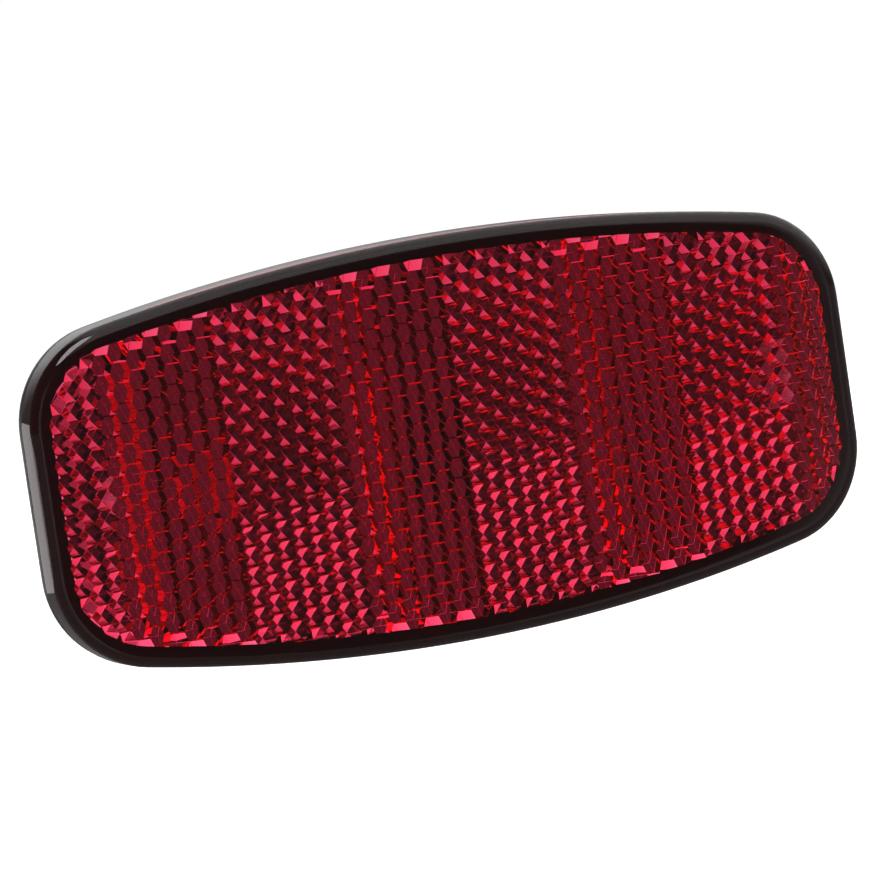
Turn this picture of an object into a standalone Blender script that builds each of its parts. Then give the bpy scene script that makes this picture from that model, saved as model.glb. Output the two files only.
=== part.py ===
"""Bicycle rear reflector for a luggage carrier, 100 mm wide.

A red moulded lens with a field of cube-corner prisms on its back closes a shallow black housing, and two
M5 screws 80 mm apart, trapped in the housing, stick out at the back with their washers and nuts.

The front faces -Y, +X is to the right seen from the front and +Z is up. The origin is the centre of the
pad that meets the carrier, in the plane of the two bosses. Depth is measured backwards from the most
forward point of the lens. Units are metres.
"""
import math

import bmesh
import bpy
from mathutils import Vector

MM = 0.001

# Gap left between two pieces that touch, and the distance under which two points are one
SEAT_GAP = 0.3 * MM
WELD_DISTANCE = 0.001 * MM

# Outline of the lens, a rectangle with bowed sides
LENS_WIDTH = 100.0 * MM
LENS_HEIGHT = 46.2 * MM
TOP_BOW = 5.75 * MM
SIDE_BOW = 0.15 * MM
CORNER_RADIUS = 11.35 * MM
FACE_RADIUS = 463.0 * MM

# Section of the lens
PLATE_THICKNESS = 1.5 * MM
RIM_WIDTH = 2.4 * MM
RIM_DEPTH = 7.0 * MM
SHOULDER_WIDTH = 1.7 * MM
SHOULDER_DROP = 1.4 * MM
RIM_EDGE_CHAMFER = 0.3 * MM

# Cube-corner pins
PIN_ACROSS_FLATS = 2.3 * MM
PIN_FOOT = 1.6 * MM
PIN_ROOT = 0.8 * MM
COLUMNS_PER_BAND = 7
PIN_OVERLAP = 0.2 * MM

# Housing
FACE_TO_PAD = 13.0 * MM
FLANGE_INSET = 0.15 * MM
FLANGE_THICKNESS = 1.1 * MM
TRAY_WALL = 1.6 * MM
TRAY_DEPTH = 1.1 * MM
TRAY_COVE = 0.65 * MM
BACK_LEDGE = 0.95 * MM
BACK_LEDGE_DROP = 0.4 * MM
BACK_TAPER = 3.2 * MM
BACK_EDGE_WIDTH = 0.8 * MM
BACK_EDGE_DROP = 0.25 * MM
LOCATING_RIB_WIDTH = 1.0 * MM
LOCATING_RIB_HALF_SPAN = 33.0 * MM
LOCATING_RIB_CLEARANCE = 0.5 * MM
BOSS_RADIUS = 6.4 * MM
BOSS_FILLET = 0.9 * MM
BOSS_EDGE = 0.4 * MM
PAD_WIDTH = 46.0 * MM
PAD_HEIGHT = 15.0 * MM
PAD_CORNER = 2.5 * MM
PAD_WALL = 1.7 * MM
PAD_CORE_CORNER = 1.6 * MM
BACK_RIB_THICKNESS = 1.4 * MM
BACK_RIB_OFFSET = 4.0 * MM
BACK_RIB_DROP = 1.5 * MM
CROSS_RIB_DROP = 1.8 * MM
CROSS_RIB_POSITION = 29.5 * MM
CROSS_RIB_HALF_LENGTH = 14.0 * MM

# Screws, washers and nuts, M5
BOLT_SPACING = 80.0 * MM
THREAD_DIAMETER = 5.0 * MM
HEX_ACROSS_FLATS = 8.0 * MM
HEAD_HEIGHT = 3.5 * MM
SHANK_LENGTH = 16.0 * MM
HEAD_RECESS = 2.0 * MM
SHANK_TIP_CHAMFER = 0.6 * MM
BORE_CLEARANCE = 0.3 * MM
FLAT_WASHER_RADIUS = 5.0 * MM
FLAT_WASHER_THICKNESS = 1.0 * MM
FLAT_WASHER_EDGE = 0.12 * MM
SPRING_WASHER_RADIUS = 4.6 * MM
SPRING_WASHER_THICKNESS = 1.2 * MM
SPRING_WASHER_SPLIT = math.radians(14.0)
SPRING_WASHER_RISE = 0.25 * MM
NUT_HEIGHT = 4.0 * MM
HEX_FACE_INSET = 0.16 * MM
HEX_EDGE_DROP = 0.45 * MM
CUTTER_MARGIN = 0.1 * MM

# Facets of the curves
TOP_STEPS = 8
CORNER_STEPS = 6
SIDE_STEPS = 2
SHOULDER_STEPS = 5
FILLET_STEPS = 2
PAD_CORNER_STEPS = 4
ROUND_SEGMENTS = 24


def remove_everything():
    for thing in list(bpy.data.objects):
        bpy.data.objects.remove(thing, do_unlink=True)


def plain_material(name, colour, roughness, metallic=0.0, transmission=0.0, ior=1.5):
    """A Principled material; colour is linear red, green and blue."""
    material = bpy.data.materials.new(name)
    material.use_nodes = True
    shader = material.node_tree.nodes["Principled BSDF"]
    shader.inputs["Base Color"].default_value = (*colour, 1.0)
    shader.inputs["Roughness"].default_value = roughness
    shader.inputs["Metallic"].default_value = metallic
    shader.inputs["Transmission Weight"].default_value = transmission
    shader.inputs["IOR"].default_value = ior
    material.diffuse_color = (*colour, 1.0)
    return material


def to_y(depth):
    """Place of a depth behind the front of the lens on the Y axis."""
    return depth - FACE_TO_PAD


def face_sag(x):
    """How far the curved front of the lens has dropped back at x."""
    return FACE_RADIUS - math.sqrt(FACE_RADIUS ** 2 - x ** 2)


def arc(centre, radius, start, end, steps):
    """Points of an arc from the angle start to the angle end, both included."""
    angles = [start + (end - start) * i / steps for i in range(steps + 1)]
    return [(centre[0] + radius * math.cos(a), centre[1] + radius * math.sin(a)) for a in angles]


def outline(inset=0.0):
    """Closed outline of the lens moved inwards by inset, from the top centre clockwise, as (x, z)."""
    half_width = LENS_WIDTH / 2
    half_height = LENS_HEIGHT / 2
    top_radius = (half_width ** 2 + TOP_BOW ** 2) / (2 * TOP_BOW)
    side_radius = (half_height ** 2 + SIDE_BOW ** 2) / (2 * SIDE_BOW)
    top_centre = Vector((0.0, half_height - top_radius))
    side_centre = Vector((half_width - side_radius, 0.0))
    across = side_centre - top_centre
    distance = across.length
    from_top = top_radius - CORNER_RADIUS
    from_side = side_radius - CORNER_RADIUS
    along = (from_top ** 2 - from_side ** 2 + distance ** 2) / (2 * distance)
    aside = math.sqrt(from_top ** 2 - along ** 2)
    unit = across / distance
    corner_centre = top_centre + unit * along + Vector((unit.y, -unit.x)) * aside
    top_end = (corner_centre - top_centre).normalized()
    side_end = (corner_centre - side_centre).normalized()
    top_angle = math.atan2(top_end.y, top_end.x)
    side_angle = math.atan2(side_end.y, side_end.x)
    quarter = arc(top_centre, top_radius - inset, math.pi / 2, top_angle, TOP_STEPS)
    quarter += arc(corner_centre, CORNER_RADIUS - inset, top_angle, side_angle, CORNER_STEPS)[1:]
    quarter += arc(side_centre, side_radius - inset, side_angle, 0.0, SIDE_STEPS)[1:]
    lower_right = [(x, -z) for x, z in reversed(quarter[:-1])]
    right = quarter + lower_right
    left = [(-x, z) for x, z in reversed(right[1:-1])]
    return right + left


def ring_points(inset, depth, curved):
    """One ring of a section, at an inset and a depth that may follow the curved face."""
    points = []
    for x, z in outline(inset):
        sag = face_sag(x) if curved else 0.0
        points.append(Vector((x, to_y(depth + sag), z)))
    return points


def cap_with_strips(mesh, ring):
    """Close a ring with upright strips, which stay flat on the curved face."""
    count = len(ring)
    half = count // 2
    for i in range(half):
        quad = (ring[i % count], ring[i + 1], ring[count - i - 1], ring[(count - i) % count])
        unique = list(dict.fromkeys(quad))
        if len(unique) > 2:
            mesh.faces.new(unique)


def upright_pairs(ring):
    """Reorder a ring so that it starts at the right end and pairs upper with lower points."""
    quarter = len(ring) // 4
    return ring[quarter:] + ring[:quarter]


def lofted(rings):
    """Closed solid through a list of rings with the same number of points, closed at both ends."""
    mesh = bmesh.new()
    loops = [[mesh.verts.new(point) for point in ring] for ring in rings]
    for near, far in zip(loops, loops[1:]):
        for i in range(len(near)):
            j = (i + 1) % len(near)
            mesh.faces.new((near[i], near[j], far[j], far[i]))
    cap_with_strips(mesh, upright_pairs(loops[0]))
    cap_with_strips(mesh, upright_pairs(loops[-1]))
    return mesh


def finished(mesh, name):
    """Turn a bmesh into an object with its faces pointing out."""
    bmesh.ops.recalc_face_normals(mesh, faces=mesh.faces)
    data = bpy.data.meshes.new(name)
    mesh.to_mesh(data)
    mesh.free()
    thing = bpy.data.objects.new(name, data)
    bpy.context.scene.collection.objects.link(thing)
    return thing


def combine(target, operation, tools):
    """Join, cut or intersect an object with others in turn; the others are used up."""
    for tool in tools:
        step = target.modifiers.new(operation, "BOOLEAN")
        step.operation = operation
        step.solver = "EXACT"
        step.object = tool
        evaluated = target.evaluated_get(bpy.context.evaluated_depsgraph_get())
        mesh = bmesh.new()
        mesh.from_mesh(evaluated.to_mesh())
        evaluated.to_mesh_clear()
        target.modifiers.remove(step)
        bmesh.ops.remove_doubles(mesh, verts=mesh.verts, dist=WELD_DISTANCE)
        bmesh.ops.dissolve_degenerate(mesh, edges=mesh.edges, dist=WELD_DISTANCE)
        mesh.to_mesh(target.data)
        mesh.free()
        bpy.data.objects.remove(tool, do_unlink=True)
    return target


def turned(profile, centre_x=0.0, segments=ROUND_SEGMENTS, phase=0.0):
    """Solid of revolution about an axis along Y; profile lists (radius, y), from axis to axis or closed."""
    mesh = bmesh.new()
    rings = []
    for radius, y in profile:
        if radius < WELD_DISTANCE:
            rings.append([mesh.verts.new((centre_x, y, 0.0))])
            continue
        ring = []
        for i in range(segments):
            angle = phase + 2 * math.pi * i / segments
            place = (centre_x + radius * math.cos(angle), y, radius * math.sin(angle))
            ring.append(mesh.verts.new(place))
        rings.append(ring)
    pairs = list(zip(rings, rings[1:]))
    if len(rings[0]) > 1:
        pairs.append((rings[-1], rings[0]))
    for near, far in pairs:
        for i in range(segments):
            j = (i + 1) % segments
            corners = (near[i % len(near)], near[j % len(near)], far[j % len(far)], far[i % len(far)])
            mesh.faces.new(list(dict.fromkeys(corners)))
    return mesh


def prism_between(points, near_y, far_y):
    """Solid with a flat outline of (x, z) points, from near_y to far_y."""
    mesh = bmesh.new()
    near = [mesh.verts.new((x, near_y, z)) for x, z in points]
    far = [mesh.verts.new((x, far_y, z)) for x, z in points]
    mesh.faces.new(near)
    mesh.faces.new(far)
    for i in range(len(points)):
        j = (i + 1) % len(points)
        mesh.faces.new((near[i], near[j], far[j], far[i]))
    return mesh


def rounded_rectangle(width, height, radius):
    """Outline of a rectangle with round corners, centred on the origin."""
    right = width / 2 - radius
    top = height / 2 - radius
    points = []
    for i, (x, z) in enumerate(((right, top), (-right, top), (-right, -top), (right, -top))):
        points += arc((x, z), radius, math.pi / 2 * i, math.pi / 2 * (i + 1), PAD_CORNER_STEPS)
    return points


def box_outline(left, right, bottom, top):
    return [(left, bottom), (right, bottom), (right, top), (left, top)]


# One pin: the corner of a cube with its three square facets, seen along the cube's diagonal as a hexagon

PIN_CORNER_RADIUS = PIN_ACROSS_FLATS / math.sqrt(3.0)
COLUMN_PITCH = PIN_ACROSS_FLATS * math.sqrt(3.0) / 2
RIDGE_RISE = PIN_CORNER_RADIUS / math.sqrt(2.0)
PIN_RISE = 2 * RIDGE_RISE


def inside_outline(point, border):
    """Whether a point is inside a convex outline that runs clockwise."""
    for i in range(len(border)):
        ax, az = border[i]
        bx, bz = border[(i + 1) % len(border)]
        if (bx - ax) * (point[1] - az) - (bz - az) * (point[0] - ax) > 0:
            return False
    return True


class PinField:
    """The closed block of pins, with walls where neighbouring columns differ in height."""

    def __init__(self):
        self.mesh = bmesh.new()
        self.points = {}
        self.levels = {}
        self.pins = self.pins_inside()

    def pins_inside(self):
        """Columns and rows of the pins that reach into the window of the rim."""
        border = outline(RIM_WIDTH - 2 * PIN_OVERLAP - PIN_CORNER_RADIUS)
        columns = int(LENS_WIDTH / COLUMN_PITCH / 2) + 1
        rows = int(LENS_HEIGHT / PIN_ACROSS_FLATS / 2) + 1
        pins = set()
        for column in range(-columns, columns):
            for row in range(-rows, rows + 1):
                if inside_outline(self.centre(column, row), border):
                    pins.add((column, row))
        return pins

    def centre(self, column, row):
        return ((column + 0.5) * COLUMN_PITCH, (row + 0.5 * (column & 1)) * PIN_ACROSS_FLATS)

    def faces_right(self, column):
        """Whether a column's pins have a facet towards +X; bands of pins are turned by half a turn."""
        return (column // COLUMNS_PER_BAND) % 2 == 0

    def corner(self, column, row, index):
        x, z = self.centre(column, row)
        angle = math.pi / 3 * index
        return (x + PIN_CORNER_RADIUS * math.cos(angle), z + PIN_CORNER_RADIUS * math.sin(angle))

    def ridges(self, column):
        """The three corners of a column's pins that end a ridge; the others are the pins' feet."""
        return (1, 3, 5) if self.faces_right(column) else (0, 2, 4)

    def corner_depth(self, column, index):
        rise = RIDGE_RISE if index % 6 in self.ridges(column) else 0.0
        return PIN_FOOT + rise + face_sag((column + 0.5) * COLUMN_PITCH)

    def vertex(self, place, depth):
        """The vertex at a place and depth, shared by all faces that meet there."""
        key = tuple(round(value / WELD_DISTANCE) for value in (*place, depth))
        if key not in self.points:
            self.points[key] = self.mesh.verts.new((place[0], to_y(depth), place[1]))
        return self.points[key]

    def place_key(self, place):
        """Whole numbers that name a corner of the lattice."""
        return (round(place[0] / PIN_CORNER_RADIUS * 4), round(place[1] / PIN_ACROSS_FLATS * 2))

    def face(self, vertices):
        unique = list(dict.fromkeys(vertices))
        if len(unique) > 2:
            self.mesh.faces.new(unique)

    def neighbour(self, column, row, edge):
        """The pin across an edge, and the pin's own corners there; edge i joins corners i and i + 1."""
        shift = column & 1
        steps = ((1, shift), (0, 1), (-1, shift), (-1, shift - 1), (0, -1), (1, shift - 1))
        across, up = steps[edge]
        return (column + across, row + up), ((edge + 4) % 6, (edge + 3) % 6)

    def edge_profile(self, column, row, edge):
        """Places and depths along an edge, on this pin's side and on the neighbour's."""
        ends = [self.corner(column, row, edge), self.corner(column, row, edge + 1)]
        own = [self.corner_depth(column, edge), self.corner_depth(column, edge + 1)]
        other, corners = self.neighbour(column, row, edge)
        if other not in self.pins:
            return ends, own, None, None
        far = [self.corner_depth(other[0], corners[0]), self.corner_depth(other[0], corners[1])]
        first = own[0] - far[0]
        last = own[1] - far[1]
        if first * last < 0:
            share = first / (first - last)
            place = tuple(a + (b - a) * share for a, b in zip(ends[0], ends[1]))
            return ends, own, far, (place, own[0] + (own[1] - own[0]) * share)
        return ends, own, far, None

    def upright_line(self, place, start, end):
        """Vertices on the upright line through a corner, from one depth to another."""
        low = min(start, end) + WELD_DISTANCE
        high = max(start, end) - WELD_DISTANCE
        levels = self.levels[self.place_key(place)].values()
        between = sorted((depth for depth in levels if low < depth < high), reverse=start > end)
        return [self.vertex(place, depth) for depth in [start, *between, end]]

    def wall(self, first_place, last_place, near, far):
        """An upright wall between two profiles, each given by its depths at the two places."""
        side = self.upright_line(last_place, near[1], far[1])
        back = self.upright_line(first_place, far[0], near[0])
        self.face([*side, *back])

    def root_depth(self, place):
        return PIN_ROOT + face_sag(place[0])

    def add_pin(self, column, row):
        """The three facets of a pin, its foot and the walls on its edges."""
        x, z = self.centre(column, row)
        apex = self.vertex((x, z), PIN_FOOT + PIN_RISE + face_sag(x))
        rim = []
        for edge in range(6):
            place = self.corner(column, row, edge)
            rim.append([self.vertex(place, self.corner_depth(column, edge))])
            crossing = self.edge_profile(column, row, edge)[3]
            if crossing:
                rim[-1].append(self.vertex(*crossing))
        for ridge in self.ridges(column):
            following = (ridge + 1) % 6
            last = (ridge + 2) % 6
            self.face([apex, *rim[ridge], *rim[following], rim[last][0]])
        foot = [self.corner(column, row, i) for i in range(6)]
        self.face([self.vertex(place, self.root_depth(place)) for place in reversed(foot)])
        for edge in range(6):
            self.add_wall(column, row, edge)

    def add_wall(self, column, row, edge):
        ends, own, far, crossing = self.edge_profile(column, row, edge)
        if far is None:
            self.wall(*ends, own, [self.root_depth(place) for place in ends])
            return
        if edge not in (0, 5):
            return
        if crossing is None:
            self.wall(*ends, own, far)
            return
        middle = self.vertex(*crossing)
        self.face([*self.upright_line(ends[0], own[0], far[0]), middle])
        self.face([*self.upright_line(ends[1], far[1], own[1]), middle])

    def build(self):
        for column, row in self.pins:
            for index in range(6):
                place = self.corner(column, row, index)
                depth = self.corner_depth(column, index)
                self.levels.setdefault(self.place_key(place), {})[round(depth / WELD_DISTANCE)] = depth
        for column, row in sorted(self.pins):
            self.add_pin(column, row)
        bmesh.ops.remove_doubles(self.mesh, verts=self.mesh.verts, dist=WELD_DISTANCE)
        bmesh.ops.triangulate(self.mesh, faces=[f for f in self.mesh.faces if len(f.verts) == 6])
        return finished(self.mesh, "pin_field")


def build_lens(material):
    """Curved plate and thick rim in one, with the block of pins joined behind the plate."""
    rings = [ring_points(SHOULDER_WIDTH, 0.0, True)]
    for i in range(1, SHOULDER_STEPS + 1):
        angle = math.pi / 2 * i / SHOULDER_STEPS
        inset = SHOULDER_WIDTH * (1 - math.sin(angle))
        depth = SHOULDER_DROP * (1 - math.cos(angle))
        rings.append(ring_points(inset, depth, True))
    rings.append(ring_points(0.0, RIM_DEPTH - RIM_EDGE_CHAMFER, False))
    rings.append(ring_points(RIM_EDGE_CHAMFER, RIM_DEPTH, False))
    rings.append(ring_points(RIM_WIDTH, RIM_DEPTH, False))
    rings.append(ring_points(RIM_WIDTH, PLATE_THICKNESS, True))
    lens = finished(lofted(rings), "lens")
    opening = outline(RIM_WIDTH - PIN_OVERLAP)
    window = finished(prism_between(opening, to_y(-RIM_DEPTH), to_y(2 * RIM_DEPTH)), "window")
    pins = combine(PinField().build(), "INTERSECT", [window])
    combine(lens, "UNION", [pins])
    lens.data.materials.clear()
    lens.data.materials.append(material)
    return lens


def build_tray():
    """The plain tray of the housing: floor, wall, flange under the rim and tapered back."""
    flange_top = RIM_DEPTH + SEAT_GAP
    flange_back = flange_top + FLANGE_THICKNESS
    floor = flange_top + TRAY_DEPTH
    back = floor + TRAY_WALL
    wall_inset = RIM_WIDTH + TRAY_WALL / 2
    slope_end = FLANGE_INSET + BACK_TAPER
    return finished(lofted([
        ring_points(wall_inset + TRAY_COVE, floor, False),
        ring_points(wall_inset, floor - TRAY_COVE, False),
        ring_points(wall_inset, flange_top, False),
        ring_points(FLANGE_INSET, flange_top, False),
        ring_points(FLANGE_INSET, flange_back, False),
        ring_points(FLANGE_INSET + BACK_LEDGE, flange_back + BACK_LEDGE_DROP, False),
        ring_points(slope_end, back - BACK_EDGE_DROP, False),
        ring_points(slope_end + BACK_EDGE_WIDTH, back, False),
    ]), "rear_housing")


def locating_rib(side):
    """A rib that stands inside the rim along its long side, level with the pins less a clearance."""
    inner = RIM_WIDTH + SEAT_GAP + LOCATING_RIB_WIDTH
    outer = RIM_WIDTH + SEAT_GAP
    pairs = []
    for (ix, iz), (ox, oz) in zip(outline(inner), outline(outer)):
        if iz * side > 0 and abs(ix) < LOCATING_RIB_HALF_SPAN:
            pairs.append((ix, iz, ox, oz))
    pairs.sort()
    rib_top = PIN_FOOT + PIN_RISE + LOCATING_RIB_CLEARANCE
    rib_root = RIM_DEPTH + SEAT_GAP + TRAY_DEPTH + TRAY_WALL / 2
    mesh = bmesh.new()
    sections = []
    for ix, iz, ox, oz in pairs:
        top = to_y(rib_top + face_sag(ix))
        root = to_y(rib_root)
        corners = ((ix, top, iz), (ox, top, oz), (ox, root, oz), (ix, root, iz))
        sections.append([mesh.verts.new(corner) for corner in corners])
    for near, far in zip(sections, sections[1:]):
        for i in range(4):
            j = (i + 1) % 4
            mesh.faces.new((near[i], near[j], far[j], far[i]))
    mesh.faces.new(sections[0])
    mesh.faces.new(sections[-1])
    return finished(mesh, "locating_rib")


def build_boss(x, root):
    """A turned boss with a small fillet at its foot and a broken edge at its end."""
    profile = [(0.0, root), (BOSS_RADIUS + BOSS_FILLET, root)]
    foot = to_y(RIM_DEPTH + SEAT_GAP + TRAY_DEPTH + TRAY_WALL)
    for i in range(FILLET_STEPS + 1):
        angle = math.pi / 2 * i / FILLET_STEPS
        radius = BOSS_RADIUS + BOSS_FILLET * (1 - math.sin(angle))
        profile.append((radius, foot + BOSS_FILLET * (1 - math.cos(angle))))
    profile += [(BOSS_RADIUS, -BOSS_EDGE), (BOSS_RADIUS - BOSS_EDGE, 0.0), (0.0, 0.0)]
    return finished(turned(profile, x), "boss")


def hex_pocket(x, floor_y):
    """The six-sided pocket that keeps a screw head from turning."""
    radius = (HEX_ACROSS_FLATS / 2 + BORE_CLEARANCE) / math.cos(math.pi / 6)
    front = to_y(RIM_DEPTH)
    profile = [(0.0, front), (radius, front), (radius, floor_y), (0.0, floor_y)]
    return finished(turned(profile, x, 6), "pocket")


def bolt_bore(x):
    """A cutter that runs clear through the floor and the boss."""
    radius = THREAD_DIAMETER / 2 + BORE_CLEARANCE
    front = to_y(RIM_DEPTH)
    return finished(turned([(0.0, front), (radius, front), (radius, -front), (0.0, -front)], x), "bore")


def build_housing(material):
    """Tray with locating ribs, bosses, mounting pad and ribs, cored and bored."""
    housing = build_tray()
    floor = to_y(RIM_DEPTH + SEAT_GAP + TRAY_DEPTH)
    middle = floor + TRAY_WALL / 2
    half_spacing = BOLT_SPACING / 2
    added = [locating_rib(1), locating_rib(-1)]
    added += [build_boss(-half_spacing, middle), build_boss(half_spacing, middle)]
    pad = rounded_rectangle(PAD_WIDTH, PAD_HEIGHT, PAD_CORNER)
    added.append(finished(prism_between(pad, middle, 0.0), "pad"))
    half_thickness = BACK_RIB_THICKNESS / 2
    for side in (-1, 1):
        for offset in (-BACK_RIB_OFFSET, BACK_RIB_OFFSET):
            ends = sorted((side * (PAD_WIDTH / 2 - PAD_CORNER), side * half_spacing))
            rib = box_outline(*ends, offset - half_thickness, offset + half_thickness)
            added.append(finished(prism_between(rib, middle, -BACK_RIB_DROP), "back_rib"))
        x = side * CROSS_RIB_POSITION
        reach = CROSS_RIB_HALF_LENGTH
        rib = box_outline(x - half_thickness, x + half_thickness, -reach, reach)
        added.append(finished(prism_between(rib, middle, -CROSS_RIB_DROP), "cross_rib"))
    combine(housing, "UNION", added)
    core = rounded_rectangle(PAD_WIDTH - 2 * PAD_WALL, PAD_HEIGHT - 2 * PAD_WALL, PAD_CORE_CORNER)
    cuts = [finished(prism_between(core, to_y(RIM_DEPTH), -PAD_WALL), "pad_core")]
    for x in (-half_spacing, half_spacing):
        cuts += [hex_pocket(x, -HEAD_RECESS), bolt_bore(x)]
    combine(housing, "DIFFERENCE", cuts)
    housing.data.materials.clear()
    housing.data.materials.append(material)
    return housing


def hexagon_blank(near_y, far_y, chamfer_near, chamfer_far):
    """A hexagon with its corners turned off at one end or both."""
    corner = HEX_ACROSS_FLATS / 2 / math.cos(math.pi / 6)
    flat = HEX_ACROSS_FLATS / 2 - HEX_FACE_INSET
    wide = corner + CUTTER_MARGIN
    drop = HEX_EDGE_DROP
    start = near_y - drop if chamfer_near else near_y
    end = far_y + drop if chamfer_far else far_y
    body = finished(turned([(0.0, start), (corner, start), (corner, end), (0.0, end)], 0.0, 6), "hexagon")
    near = [(0.0, near_y), (flat, near_y), (wide, near_y + drop)]
    far = [(wide, far_y - drop), (flat, far_y), (0.0, far_y)]
    if not chamfer_near:
        near = [(0.0, near_y - drop), (wide, near_y - drop)]
    if not chamfer_far:
        far = [(wide, far_y + drop), (0.0, far_y + drop)]
    return combine(body, "INTERSECT", [finished(turned(near + far), "turned_blank")])


def build_bolt_mesh():
    """Hexagon-head screw on the Y axis, its head towards the front."""
    seat = -HEAD_RECESS - SEAT_GAP
    head = hexagon_blank(seat - HEAD_HEIGHT, seat, True, False)
    radius = THREAD_DIAMETER / 2
    start = seat - HEAD_HEIGHT / 2
    end = seat + SHANK_LENGTH
    profile = [(0.0, start), (radius, start), (radius, end - SHANK_TIP_CHAMFER)]
    profile += [(radius - SHANK_TIP_CHAMFER, end), (0.0, end)]
    bolt = combine(head, "UNION", [finished(turned(profile), "shank")])
    return take_mesh(bolt)


def take_mesh(thing):
    """The mesh of an object that isn't needed as one."""
    data = thing.data
    bpy.data.objects.remove(thing, do_unlink=True)
    return data


def build_washer_mesh(start):
    inner = THREAD_DIAMETER / 2 + BORE_CLEARANCE
    end = start + FLAT_WASHER_THICKNESS
    edge = FLAT_WASHER_EDGE
    profile = [(inner, start), (FLAT_WASHER_RADIUS, start), (FLAT_WASHER_RADIUS, end - edge),
               (FLAT_WASHER_RADIUS - edge, end), (inner, end)]
    return take_mesh(finished(turned(profile), "washer"))


def build_spring_washer_mesh(start):
    """A square wire wound almost once round, its cut ends apart."""
    inner = THREAD_DIAMETER / 2 + BORE_CLEARANCE
    rise = SPRING_WASHER_RISE
    thickness = SPRING_WASHER_THICKNESS - rise
    sweep = 2 * math.pi - SPRING_WASHER_SPLIT
    mesh = bmesh.new()
    sections = []
    for i in range(ROUND_SEGMENTS + 1):
        share = i / ROUND_SEGMENTS
        angle = math.pi / 2 + SPRING_WASHER_SPLIT / 2 + sweep * share
        near = start + rise * share
        corners = ((inner, near), (SPRING_WASHER_RADIUS, near),
                   (SPRING_WASHER_RADIUS, near + thickness), (inner, near + thickness))
        sections.append([mesh.verts.new((r * math.cos(angle), y, r * math.sin(angle))) for r, y in corners])
    for near_section, far_section in zip(sections, sections[1:]):
        for i in range(4):
            j = (i + 1) % 4
            mesh.faces.new((near_section[i], near_section[j], far_section[j], far_section[i]))
    mesh.faces.new(sections[0])
    mesh.faces.new(sections[-1])
    return take_mesh(finished(mesh, "spring_washer"))


def build_nut_mesh(start):
    end = start + NUT_HEIGHT
    body = hexagon_blank(start, end, True, True)
    radius = THREAD_DIAMETER / 2 + BORE_CLEARANCE
    near = start - radius
    far = end + radius
    bore = finished(turned([(0.0, near), (radius, near), (radius, far), (0.0, far)]), "nut_bore")
    return take_mesh(combine(body, "DIFFERENCE", [bore]))


def place_pair(name, data, material):
    """Two objects that share a mesh, one on each screw's axis."""
    data.materials.clear()
    data.materials.append(material)
    for side, word in ((-1, "left"), (1, "right")):
        thing = bpy.data.objects.new(f"{name}_{word}", data)
        thing.location = (side * BOLT_SPACING / 2, 0.0, 0.0)
        bpy.context.scene.collection.objects.link(thing)


def build_fasteners(material):
    """The stack on each screw, counted back from the boss."""
    place_pair("bolt", build_bolt_mesh(), material)
    washer_start = SEAT_GAP
    place_pair("flat_washer", build_washer_mesh(washer_start), material)
    spring_start = washer_start + FLAT_WASHER_THICKNESS + SEAT_GAP
    place_pair("spring_washer", build_spring_washer_mesh(spring_start), material)
    nut_start = spring_start + SPRING_WASHER_THICKNESS + SEAT_GAP
    place_pair("nut", build_nut_mesh(nut_start), material)


def shade(thing, angle=math.radians(25.0)):
    """Smooth round faces and keep the real edges sharp."""
    for polygon in thing.data.polygons:
        polygon.use_smooth = True
    thing.data.set_sharp_from_angle(angle=angle)


def main():
    remove_everything()
    red = plain_material("red_pmma", (0.55, 0.005, 0.012), 0.05, transmission=0.9, ior=1.49)
    black = plain_material("black_abs", (0.008, 0.008, 0.009), 0.35)
    zinc = plain_material("zinc_plated_steel", (0.55, 0.56, 0.58), 0.3, metallic=1.0)
    build_lens(red)
    build_housing(black)
    build_fasteners(zinc)
    for thing in bpy.context.scene.collection.objects:
        shade(thing)


main()
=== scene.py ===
"""Bicycle rear reflector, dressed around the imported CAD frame.

A red PMMA lens with a field of cube-corner prisms, a black ABS housing behind it, and two zinc-plated M5
screws with washers and nuts. The front faces -Y, +X is to the right seen from the front, +Z is up, and
everything is in metres. Depth is measured backwards from the most forward point of the lens.
"""
import math

import bmesh
import bpy
from bpy.props import FloatProperty, FloatVectorProperty, IntProperty, PointerProperty
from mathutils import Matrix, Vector


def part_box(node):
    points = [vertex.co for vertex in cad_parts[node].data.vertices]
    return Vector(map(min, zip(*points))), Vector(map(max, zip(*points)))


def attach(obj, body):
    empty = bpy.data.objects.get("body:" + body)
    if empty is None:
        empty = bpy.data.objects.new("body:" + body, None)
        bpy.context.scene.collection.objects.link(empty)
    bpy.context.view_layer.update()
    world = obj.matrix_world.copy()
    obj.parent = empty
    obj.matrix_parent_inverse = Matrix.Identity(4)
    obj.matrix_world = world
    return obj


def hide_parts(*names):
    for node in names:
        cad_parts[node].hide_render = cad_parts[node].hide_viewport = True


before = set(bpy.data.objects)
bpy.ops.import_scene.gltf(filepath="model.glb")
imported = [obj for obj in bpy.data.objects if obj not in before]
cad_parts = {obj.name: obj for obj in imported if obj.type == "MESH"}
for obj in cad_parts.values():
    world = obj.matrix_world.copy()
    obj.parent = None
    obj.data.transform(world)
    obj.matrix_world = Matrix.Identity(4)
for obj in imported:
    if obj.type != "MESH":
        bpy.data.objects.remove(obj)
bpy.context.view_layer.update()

bl_info = {
    "name": "Bicycle rear reflector",
    "version": (1, 0, 0),
    "blender": (4, 5, 0),
    "location": "View3D > Sidebar > Reflector",
    "description": "Models a carrier reflector piece by piece around its packed frame",
    "category": "Object",
}

MM = 0.001
WELD = 0.0005 * MM

LENS_LOW, LENS_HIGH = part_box("lens")
FRONT_Y = LENS_LOW[1]


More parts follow.
